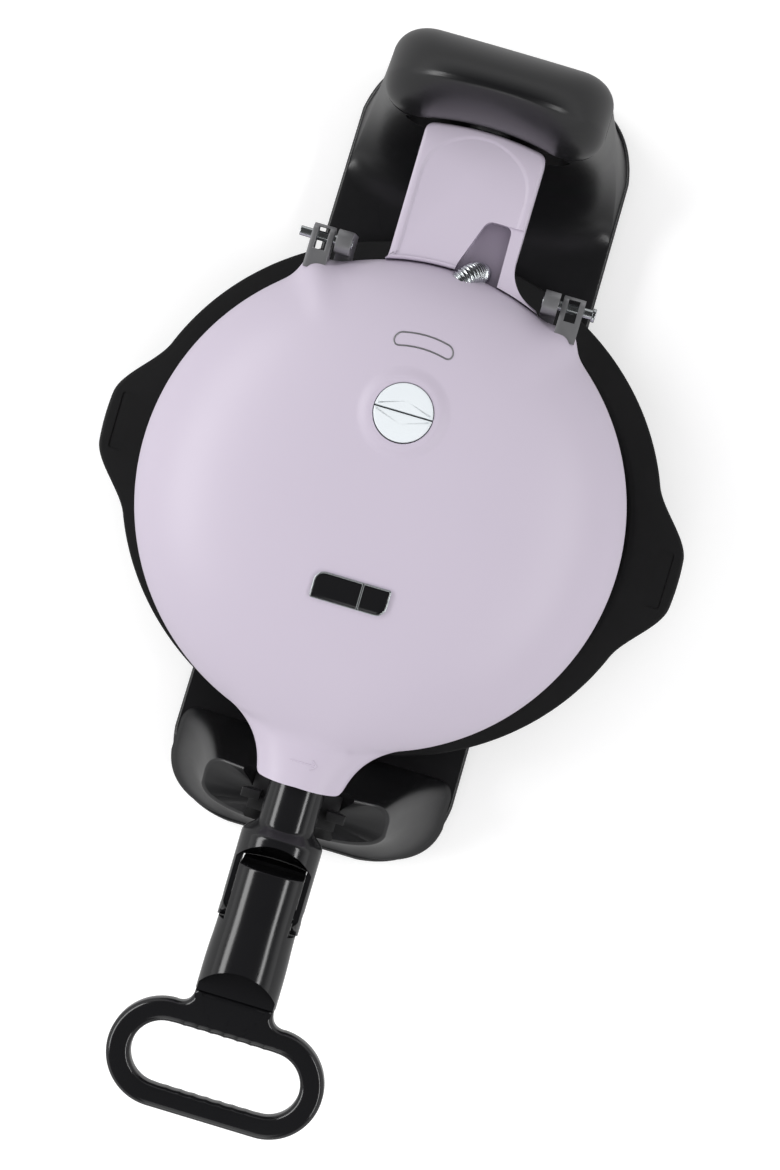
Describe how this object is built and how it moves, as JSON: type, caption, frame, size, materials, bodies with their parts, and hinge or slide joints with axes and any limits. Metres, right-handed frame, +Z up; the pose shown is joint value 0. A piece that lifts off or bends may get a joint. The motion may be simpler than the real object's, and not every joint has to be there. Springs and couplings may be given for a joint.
{
  "type": "rotating waffle maker",
  "caption": "Round clamshell waffle maker that turns on a front-to-back axis over a drip tray, with a rear tower, a front cradle and a folding loop handle.",
  "frame": {"origin": "on the table, under the middle of the whole appliance with its handle unfolded", "axes": "+Z up, +Y from the handle towards the tower, +X to the right seen from the handle"},
  "size_m": [0.2876, 0.5062, 0.197],
  "materials": {
    "gloss_black": "high gloss black moulded plastic",
    "matte_black": "fine matte black moulded plastic",
    "tray_black": "matte black moulded plastic",
    "foot_rubber": "soft matte rubber",
    "lavender": "satin lavender moulded plastic",
    "plate_coating": "cast aluminium with a dark non-stick coating",
    "bright_steel": "bright steel",
    "cast_grey": "grey metal casting",
    "lamp_lens": "milky translucent lens"
  },
  "bodies": {
    "stand": {"base_housing": "gloss_black", "tower_cap": "gloss_black", "bottom_cover": "matte_black", "foot_front_left": "foot_rubber", "foot_front_right": "foot_rubber", "foot_rear_left": "foot_rubber", "foot_rear_right": "foot_rubber", "cover_screw_1": "bright_steel", "cover_screw_2": "bright_steel", "cover_screw_3": "bright_steel", "cover_screw_4": "bright_steel", "front_saddle": "matte_black", "rear_bearing": "matte_black", "cord_gland": "foot_rubber"},
    "tray": {"drip_tray": "tray_black"},
    "lower_body": {"lower_shell": "lavender", "lower_plate": "plate_coating", "lower_heater": "bright_steel", "lower_thermostat": "matte_black", "lower_trunnion": "matte_black", "pivot_shaft": "bright_steel", "pivot_nut": "bright_steel", "hinge_knuckle_left": "cast_grey", "hinge_knuckle_right": "cast_grey", "wiring_conduit": "bright_steel"},
    "hinge_pins": {"hinge_pin_left": "bright_steel", "hinge_pin_right": "bright_steel"},
    "lid": {"upper_shell": "lavender", "upper_plate": "plate_coating", "upper_heater": "bright_steel", "upper_thermostat": "matte_black", "hinge_bracket_left": "cast_grey", "hinge_bracket_right": "cast_grey", "power_lamp_lens": "lamp_lens", "ready_lamp_lens": "lamp_lens", "lamp_holder": "matte_black", "badge_plate": "gloss_black", "badge_rim": "bright_steel", "handle_collar": "gloss_black", "fold_pin": "bright_steel"},
    "handle": {"handle_stem": "gloss_black", "handle_loop": "gloss_black"}
  },
  "joints": [
    {"name": "tray_slide", "type": "slide", "parent": "stand", "child": "tray", "axis": [1, 0, 0], "range_m": [-0.26, 0.26]},
    {"name": "body_turn", "type": "hinge", "parent": "stand", "child": "lower_body", "pos_m": [0, 0.0373, 0.138], "axis": [0, -1, 0], "range_deg": [-180, 0]},
    {"name": "lid_float", "type": "slide", "parent": "lower_body", "child": "hinge_pins", "axis": [0, 0, 1], "range_m": [0, 0.003], "deforming": ["wiring_conduit"]},
    {"name": "lid_open", "type": "hinge", "parent": "hinge_pins", "child": "lid", "pos_m": [0, 0.1453, 0.148], "axis": [-1, 0, 0], "range_deg": [0, 90], "deforming": ["wiring_conduit"]},
    {"name": "handle_fold", "type": "hinge", "parent": "lid", "child": "handle", "pos_m": [0, -0.1515, 0.138], "axis": [-1, 0, 0], "range_deg": [0, 90]}
  ]
}
